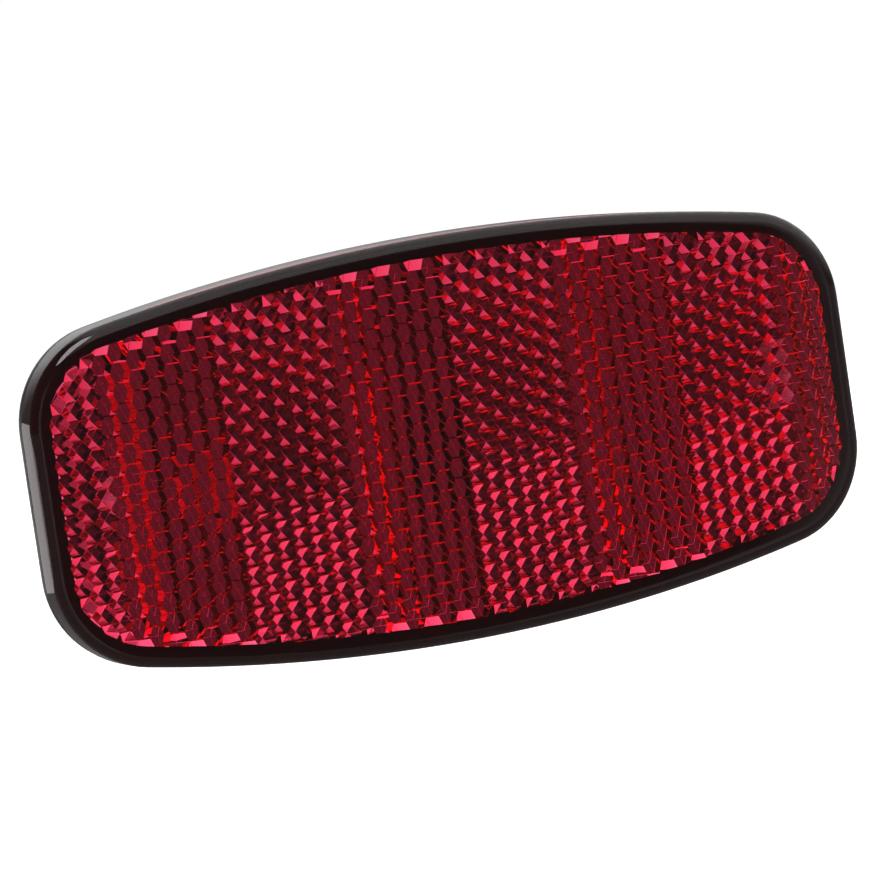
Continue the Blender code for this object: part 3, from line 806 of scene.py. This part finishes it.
class REFLECTOR_OT_housing(bpy.types.Operator):
    """Model the black housing with its bosses, pad and ribs"""
    bl_idname = "reflector.housing"
    bl_label = "Housing"

    def execute(self, context):
        sizes = context.scene.reflector_housing
        screws = context.scene.reflector_fasteners
        housing = tray()
        middle = FRONT_Y + sizes.floor + sizes.wall / 2
        back = FRONT_Y + sizes.floor + sizes.wall
        half = sizes.spacing / 2
        added = [locating_rib(1), locating_rib(-1)]

        # Bosses, with a fillet at the foot that dips just under the back to leave no seam
        fillet = 0.9 * MM
        dip = 0.002 * MM
        edge = 0.4 * MM
        profile = [(0.0, middle), (sizes.boss_radius + fillet, middle)]
        for i in range(7):
            angle = math.pi / 12 * i
            profile.append((sizes.boss_radius + fillet * (1 - math.sin(angle)),
                            back + fillet * (1 - math.cos(angle)) - dip))
        profile += [(sizes.boss_radius, -edge), (sizes.boss_radius - 0.3 * edge, -0.3 * edge)]
        profile += [(sizes.boss_radius - edge, 0.0), (0.0, 0.0)]
        for x in (-half, half):
            added.append(from_profile("boss", x, profile))

        # Raised pad, and ribs from it to the bosses and across
        pad = (sizes.pad_width / 2, sizes.pad_height / 2)
        added.append(block("pad", (-pad[0], middle, -pad[1]), (pad[0], 0, pad[1]),
                           draft=0.05 * MM, corner=2.5 * MM, edge=0.3 * MM))
        rib = 0.7 * MM
        draft = 0.12 * MM
        rib_edge = 0.2 * MM
        long_rib_end = -1.5 * MM
        cross_rib_end = -1.8 * MM
        cross_rib_half = 14 * MM
        for side in (-1, 1):
            for offset in (-4 * MM, 4 * MM):
                ends = sorted((side * (pad[0] - 2 * MM), side * half))
                added.append(block("rib", (ends[0], middle, offset - rib),
                                   (ends[1], long_rib_end, offset + rib), draft=draft, edge=rib_edge))
            x = side * 29.5 * MM
            added.append(block("rib", (x - rib, middle, -cross_rib_half),
                               (x + rib, cross_rib_end, cross_rib_half), draft=draft, edge=rib_edge))
        combine(housing, "UNION", *added)

        # Hollow behind the pad, hexagon pockets for the screw heads, and bores with a countersunk mouth
        wall = 1.7 * MM
        hollow_start = FRONT_Y + 6 * MM
        pocket_start = FRONT_Y + 6.9 * MM
        clearance = 0.3 * MM
        cuts = [block("core", (-pad[0] + wall, hollow_start, -pad[1] + wall),
                      (pad[0] - wall, -wall, pad[1] - wall), draft=0.1 * MM, corner=1.6 * MM, edge=0.3 * MM)]
        for x in (-half, half):
            pocket = hexagon("pocket", x, pocket_start, -screws.head_seat + sizes.seat,
                             screws.flats / 2 + clearance)
            reach = screws.thread / 2 + clearance
            mouth = reach + 0.35 * MM
            bore = from_profile("bore", x, [(0, -6 * MM), (reach, -6 * MM), (reach, -0.3 * MM),
                                            (mouth, 0.05 * MM), (mouth, MM), (0, MM)])
            cuts += [pocket, bore]
        combine(housing, "DIFFERENCE", *cuts)
        finish_piece(housing, "rear_housing", black_abs(), math.radians(28))
        return {"FINISHED"}


# Screws, washers and nuts


def hexagon(name, x, start, end, flat_radius):
    deselect()
    bpy.ops.mesh.primitive_cylinder_add(
        vertices=6, radius=flat_radius / math.cos(math.pi / 6), depth=end - start,
        location=(x, (start + end) / 2, 0), rotation=(math.pi / 2, math.pi / 6, 0))
    return place(name_it(name))


def turned_hexagon(name, x, start, end, both):
    """A hexagon with its corners turned off at its front end or at both ends."""
    sizes = bpy.context.scene.reflector_fasteners
    face = 0.48 * sizes.flats
    wide = 0.6 * sizes.flats
    drop = (wide - face) * math.tan(math.radians(30))
    profile = [(0, start), (face, start), (wide, start + drop)]
    profile += [(wide, end - drop), (face, end)] if both else [(wide, end)]
    blank = from_profile("turned_blank", x, [*profile, (0, end)], steps=96)
    spare = 0.1 * MM
    body = hexagon(name, x, start - spare, end + (spare if both else 0), sizes.flats / 2)
    return combine(body, "INTERSECT", blank)


def thread(name, x, start, end, clearance=0.0):
    """A threaded rod with a 60 degree profile, from one drawn pitch and the Screw modifier."""
    sizes = bpy.context.scene.reflector_fasteners
    pitch = sizes.pitch
    crest = sizes.thread / 2 + clearance
    depth = 0.58 * pitch
    flank = depth * math.tan(math.radians(30))
    flat = (pitch - 2 * flank) / 3
    deselect()
    bpy.ops.mesh.primitive_plane_add(size=MM, location=(crest - depth, start - 2 * pitch, 0))
    rod = place(name_it(name))
    edit(rod)
    bpy.ops.mesh.select_all(action="SELECT")
    bpy.ops.mesh.merge(type="CENTER")
    for step in ((0, flat), (depth, flank), (0, 2 * flat), (-depth, flank)):
        bpy.ops.mesh.extrude_vertices_move(TRANSFORM_OT_translate={"value": (*step, 0)})
    leave(rod)
    bpy.ops.object.modifier_add(type="SCREW")
    turn = rod.modifiers[-1]
    turn.axis = "Y"
    turn.screw_offset = pitch
    turn.iterations = math.ceil((end - start) / pitch) + 3
    turn.steps = turn.render_steps = 36
    turn.use_merge_vertices = True
    turn.merge_threshold = WELD
    bpy.ops.object.modifier_apply(modifier=turn.name)
    edit(rod)
    bpy.ops.mesh.select_all(action="SELECT")
    bpy.ops.mesh.remove_doubles(threshold=WELD)
    bpy.ops.mesh.select_all(action="SELECT")
    bpy.ops.mesh.fill_holes(sides=0)
    bpy.ops.transform.translate(value=(x, 0, 0))
    leave(rod)
    return tidy_normals(rod)


class REFLECTOR_OT_fasteners(bpy.types.Operator):
    """Model one screw with its washers and nut and copy them to the other side"""
    bl_idname = "reflector.fasteners"
    bl_label = "Screws, washers and nuts"

    def execute(self, context):
        sizes = context.scene.reflector_fasteners
        seat = context.scene.reflector_housing.seat
        spacing = context.scene.reflector_housing.spacing
        x = -spacing / 2
        under = -sizes.head_seat
        tip = under + sizes.length
        radius = sizes.thread / 2
        spare = 0.1 * MM
        chamfer = 0.6 * MM
        bolt = turned_hexagon("bolt_screw_left", x, under - sizes.head, under, False)
        rod = thread("rod", x, under, tip)
        cut = from_profile("rod_end", x, [(0, under - MM), (radius + spare, under - MM),
                                          (radius + spare, tip - chamfer), (radius - chamfer, tip), (0, tip)])
        combine(rod, "INTERSECT", cut)
        combine(bolt, "UNION", rod)

        inner = radius + 0.25 * MM
        outer = 5 * MM
        start = seat
        end = sizes.washer_end
        edge = 0.12 * MM
        # Punched: a small burr edge on one side and a rolled edge on the other
        washer = from_profile("flat_washer_punched_left", x, [
            (inner, start + edge), (inner + edge, start), (outer - edge, start), (outer, start + edge),
            (outer, end - 2 * edge), (outer - edge, end - 0.5 * edge), (outer - 3 * edge, end),
            (inner + edge, end), (inner, end - edge), (inner, start + edge)], steps=96)

        start = end + seat
        end = sizes.spring_end
        rise = 0.25 * MM
        split = math.radians(14)
        spring = coil("spring_washer_wound_left", x, inner, 4.6 * MM, start, end - rise, rise, split)

        start = end + seat
        nut = turned_hexagon("nut_left_tapped", x, start, sizes.nut_end, True)
        bore = thread("tap", x, under, tip, clearance=0.07 * MM)
        combine(nut, "DIFFERENCE", bore)
        mouth = radius + 0.2 * MM
        for y, side in ((start, -1), (sizes.nut_end, 1)):
            out = y + side * spare
            deep = y - side * chamfer
            cone = from_profile("countersink", x, [(0, out), (mouth + spare, out),
                                                   (mouth - chamfer, deep), (0, deep)])
            combine(nut, "DIFFERENCE", cone)

        steel = zinc_plated()
        for left, node in ((bolt, "bolt"), (washer, "flat_washer"), (spring, "spring_washer"), (nut, "nut")):
            right = copy_of(left, left.name.replace("left", "right"), spacing)
            finish_piece(left, node + "_left", steel, math.radians(40))
            finish_piece(right, node + "_right", steel, math.radians(40))
        return {"FINISHED"}


def coil(name, x, inner, outer, start, end, rise, split):
    """One open turn of square wire with broken edges, its cut ends apart."""
    edge = 0.12 * MM
    corners = [(inner + edge, start), (outer - edge, start), (outer, start + edge), (outer, end - edge),
               (outer - edge, end), (inner + edge, end), (inner, end - edge), (inner, start + edge)]
    sweep = 2 * math.pi - split
    solid = from_profile(name, x, [*corners, corners[0]], steps=72, sweep=sweep)
    edit(solid)
    bpy.ops.mesh.select_all(action="SELECT")
    bpy.ops.mesh.fill_holes(sides=0)
    mesh = bmesh.from_edit_mesh(solid.data)
    for vertex in mesh.verts:
        turned_by = math.atan2(-vertex.co.z, vertex.co.x - x) % (2 * math.pi)
        vertex.co.y += rise * (1 - turned_by / sweep)
    # The split goes to the top
    bpy.ops.mesh.select_all(action="SELECT")
    bpy.ops.transform.rotate(value=math.pi / 2 + split / 2, orient_axis="Y", center_override=(x, 0, 0))
    leave(solid)
    return tidy_normals(solid)


# Stage

WHITE = (1, 1, 1, 1)
FLOOR = -0.12
OVER_FLOOR = FLOOR + MM
FLAG_Y = -3.0


def emission_for(material, camera, others):
    """One brightness to the camera and through glass, and another to the rest."""
    path = add(material, "ShaderNodeLightPath")
    either = {0: path.outputs["Is Camera Ray"], 1: path.outputs["Is Transmission Ray"]}
    seen = add(material, "ShaderNodeMath", either, operation="MAXIMUM")
    strength = add(material, "ShaderNodeMapRange", {"Value": seen.outputs[0]}, in_3=others, in_4=camera)
    return strength.outputs[0]


def mirrored(material):
    """One for rays that a skin mirrors and nothing for those that went through it."""
    path = add(material, "ShaderNodeLightPath")
    both = {0: path.outputs["Is Glossy Ray"], 1: path.outputs["Is Transmission Ray"]}
    return add(material, "ShaderNodeMath", both, operation="SUBTRACT", use_clamp=True).outputs[0]


def dark_studio_for_gloss(world, strength):
    """What polished skins mirror: a dim horizon and left side, and a white ceiling from 17 degrees up."""
    direction = add(world, "ShaderNodeTexCoord")
    split = add(world, "ShaderNodeSeparateXYZ", {0: direction.outputs["Generated"]})
    ceiling = add(world, "ShaderNodeMapRange", {"Value": split.outputs["Z"]},
                  in_1=0.0, in_2=0.3, in_3=0.12, in_4=1.0)
    right = add(world, "ShaderNodeMapRange", {"Value": split.outputs["X"]},
                in_1=-0.33, in_2=-0.1, in_3=0.12, in_4=1.0)
    room = add(world, "ShaderNodeMath", {0: ceiling.outputs[0], 1: right.outputs[0]}, operation="MINIMUM")
    chosen = add(world, "ShaderNodeMix", {0: mirrored(world), 2: strength, 3: room.outputs[0]},
                 data_type="FLOAT")
    return chosen.outputs[0]


def pale_world():
    world = bpy.data.worlds.new("pale_studio")
    bpy.context.scene.world = world
    world.use_nodes = True
    world.node_tree.nodes.clear()
    strength = dark_studio_for_gloss(world, emission_for(world, 1.0, 0.75))
    sky = add(world, "ShaderNodeBackground", {"Strength": strength}, in_Color=WHITE)
    add(world, "ShaderNodeOutputWorld", {"Surface": sky.outputs[0]})


def floor_paper():
    """White matt paper with a faint fibre, pale to the camera, and it keeps the shadow. Mirrored rays see an
    even dim glow in its place, a painted reflection.
    """
    paint = new_material("pale_floor_paper")
    coordinates = add(paint, "ShaderNodeTexCoord")
    fibre = add(paint, "ShaderNodeTexNoise", {"Vector": coordinates.outputs["Object"]}, in_Scale=900.0)
    bump = add(paint, "ShaderNodeBump", {"Height": fibre.outputs[0]}, in_Strength=0.05, in_Distance=0.1 * MM)
    matt = add(paint, "ShaderNodeBsdfDiffuse", {"Normal": bump.outputs[0]}, in_Color=(0.9, 0.9, 0.9, 1))
    glow = add(paint, "ShaderNodeEmission", {"Strength": emission_for(paint, 0.35, 0.0)}, in_Color=WHITE)
    both = add(paint, "ShaderNodeAddShader", {0: matt.outputs[0], 1: glow.outputs[0]})
    # Painted reflection: mirrored rays see this even dim glow, not the lit paper
    dim = add(paint, "ShaderNodeEmission", in_Color=WHITE, in_Strength=0.25)
    seen = add(paint, "ShaderNodeMixShader", {0: mirrored(paint), 1: both.outputs[0], 2: dim.outputs[0]})
    add(paint, "ShaderNodeOutputMaterial", {"Surface": seen.outputs[0]})
    return paint


def card_glow():
    """Painted highlight: a white card that glows by its own emission, a little warm, with no lamp on it."""
    white = new_material("white_card_glow")
    lit = add(white, "ShaderNodeEmission", in_Color=(1, 0.95, 0.95, 1), in_Strength=1.3)
    add(white, "ShaderNodeOutputMaterial", {"Surface": lit.outputs[0]})
    return white


def flag_reflection_paint():
    """Painted dark reflection: a sheet that glows near black around the camera's axis and grey further out.
    """
    reflection_paint = new_material("flag_painted_dark_reflection")
    path = add(reflection_paint, "ShaderNodeLightPath")
    coordinates = add(reflection_paint, "ShaderNodeTexCoord")
    aside = add(reflection_paint, "ShaderNodeVectorMath", {0: coordinates.outputs["Object"]}, operation="MULTIPLY")
    aside.inputs[1].default_value = (1, 0, 1)
    reach = add(reflection_paint, "ShaderNodeVectorMath", {0: aside.outputs[0]}, operation="LENGTH")
    ahead = add(reflection_paint, "ShaderNodeSeparateXYZ", {0: coordinates.outputs["Object"]})
    slope = add(reflection_paint, "ShaderNodeMath", {0: reach.outputs["Value"], 1: ahead.outputs["Y"]},
                operation="DIVIDE")
    grey = add(reflection_paint, "ShaderNodeMapRange", {"Value": slope.outputs[0]},
               in_1=front_slope(36), in_2=front_slope(42), in_3=0.11, in_4=0.48)
    # Mirrored rays pass over it from 29 degrees up and find the ceiling
    rise = add(reflection_paint, "ShaderNodeMath", {0: ahead.outputs["Z"], 1: ahead.outputs["Y"]}, operation="DIVIDE")
    high = add(reflection_paint, "ShaderNodeMapRange", {"Value": rise.outputs[0]},
               in_1=front_slope(26), in_2=front_slope(32))
    over = add(reflection_paint, "ShaderNodeMath", {0: high.outputs[0], 1: mirrored(reflection_paint)}, operation="MULTIPLY")
    passes = add(reflection_paint, "ShaderNodeMath", {0: over.outputs[0], 1: path.outputs["Is Camera Ray"]},
                 operation="MAXIMUM")
    clear = add(reflection_paint, "ShaderNodeBsdfTransparent")
    dark = add(reflection_paint, "ShaderNodeEmission", {"Strength": grey.outputs[0]}, in_Color=WHITE)
    shown = add(reflection_paint, "ShaderNodeMixShader", {0: passes.outputs[0], 1: dark.outputs[0], 2: clear.outputs[0]})
    add(reflection_paint, "ShaderNodeOutputMaterial", {"Surface": shown.outputs[0]})
    return reflection_paint


def front_slope(degrees):
    """Distance aside for each step in +Y, at this angle off the front's axis."""
    return -math.tan(math.radians(degrees))


def stand_on_stage(thing, material):
    """Paint a card or flag that neither the camera nor matt surfaces see and that casts no shadow."""
    thing.data.materials.append(material)
    thing.visible_camera = False
    thing.visible_diffuse = False
    thing.visible_shadow = False


def white_cards():
    """Glowing cards that the left wall of the rim mirrors as a painted highlight, one on the floor and one
    upright behind it.
    """
    paper = card_glow()
    for name, location, turn, size in (
            ("white_card", (-0.73, 1.4, OVER_FLOOR), 0, (1.36, 1.6, 1)),
            ("white_card_upright", (-0.9, 2.2, -0.04), math.pi / 2, (1.0, 1, 0.18))):
        deselect()
        bpy.ops.mesh.primitive_plane_add(size=1, location=location, rotation=(turn, 0, 0))
        card = name_it(name)
        bpy.ops.transform.resize(value=size)
        place(card)
        # Only mirror reflections show it
        card.visible_transmission = False
        card.visible_volume_scatter = False
        stand_on_stage(card, paper)


def black_flags():
    """A disc behind the camera and a widening sheet on the floor below it, seen only through glass and in
    mirrored rays: painted dark reflections in the lens.
    """
    reflection_paint = flag_reflection_paint()
    spread = -front_slope(52)
    deselect()
    bpy.ops.mesh.primitive_circle_add(
        vertices=64, radius=-FLAG_Y * spread, fill_type="NGON", location=(0, FLAG_Y, 0),
        rotation=(math.pi / 2, 0, 0))
    upright = place(name_it("black_flag"))
    deselect()
    bpy.ops.mesh.primitive_plane_add(size=-FLAG_Y, location=(0, FLAG_Y / 2, OVER_FLOOR))
    lying = place(name_it("black_flag_on_floor"))
    pick_vertices(lying, lambda co: co.y < FLAG_Y / 2)
    bpy.ops.transform.resize(value=(2 * spread, 1, 1), center_override=(0, 0, 0))
    leave(lying)
    # Its near end is narrow and stops short of the object
    pick_vertices(lying, lambda co: co.y > FLAG_Y / 2)
    bpy.ops.transform.resize(value=(0.1, 1, 1), center_override=(0, 0, 0))
    bpy.ops.transform.translate(value=(0, -0.13, 0))
    leave(lying)
    for flag in (upright, lying):
        stand_on_stage(flag, reflection_paint)


def aim(thing, target):
    thing.rotation_euler = (Vector(target) - thing.location).to_track_quat("-Z", "Y").to_euler()


def area_light(name, location, size, power):
    """A round soft light that the lens doesn't show as a bright disc."""
    bpy.ops.object.light_add(type="AREA", location=location)
    lamp = name_it(name)
    lamp.data.shape = "DISK"
    lamp.data.size = size
    lamp.data.energy = power
    lamp.visible_transmission = False
    aim(lamp, (0, 0, 0))
    return lamp


class REFLECTOR_OT_stage(bpy.types.Operator):
    """Set the pale floor, the soft light, the cards and flags and the camera"""
    bl_idname = "reflector.stage"
    bl_label = "Stage"

    def execute(self, context):
        pale_world()
        deselect()
        bpy.ops.mesh.primitive_plane_add(size=12, location=(0, 0, FLOOR))
        floor = place(name_it("floor"))
        floor.data.materials.append(floor_paper())
        white_cards()
        black_flags()

        deselect()
        area_light("soft_key", (-0.5, -0.7, 1.1), 0.7, 8.0)
        fill = area_light("soft_fill_back", (0.6, 1.1, 0.7), 0.8, 8.0)
        # Else it draws a white line along the top of the rim
        fill.visible_glossy = False

        # Place and angle found by fitting the outline and the rows of prisms
        bpy.ops.object.camera_add(location=(-0.27451, -0.70201, 0.06792))
        camera = name_it("camera")
        camera.rotation_euler = [math.radians(angle) for angle in (84.7171, 8.3632, -22.257)]
        camera.data.lens = 269.054
        camera.data.sensor_width = 36.0
        camera.data.clip_end = 50.0
        context.scene.camera = camera

        context.scene.view_settings.view_transform = "Standard"
        # Light bounces many times inside the prisms
        context.scene.cycles.max_bounces = 24
        context.scene.cycles.glossy_bounces = 24
        context.scene.cycles.transmission_bounces = 24
        context.scene.cycles.transparent_max_bounces = 16
        return {"FINISHED"}


class REFLECTOR_PT_panel(bpy.types.Panel):
    """Sidebar list of the reflector's pieces"""
    bl_idname = "REFLECTOR_PT_panel"
    bl_label = "Bicycle rear reflector"
    bl_space_type = "VIEW_3D"
    bl_region_type = "UI"
    bl_category = "Reflector"

    def draw(self, context):
        for operator in OPERATORS:
            self.layout.operator(operator.bl_idname)


GROUPS = {
    "reflector_lens": LensSizes,
    "reflector_housing": HousingSizes,
    "reflector_fasteners": FastenerSizes,
    "reflector_finishes": Finishes,
}
OPERATORS = (REFLECTOR_OT_housing, REFLECTOR_OT_fasteners, REFLECTOR_OT_lens, REFLECTOR_OT_stage)
CLASSES = (*GROUPS.values(), *OPERATORS, REFLECTOR_PT_panel)


def register():
    for each in CLASSES:
        bpy.utils.register_class(each)
    for name, group in GROUPS.items():
        setattr(bpy.types.Scene, name, PointerProperty(type=group))


def unregister():
    for name in GROUPS:
        delattr(bpy.types.Scene, name)
    for each in reversed(CLASSES):
        bpy.utils.unregister_class(each)


def main():
    register()
    for operator in OPERATORS:
        family, name = operator.bl_idname.split(".")
        getattr(getattr(bpy.ops, family), name)()
    deselect()


if __name__ == "__main__":
    main()
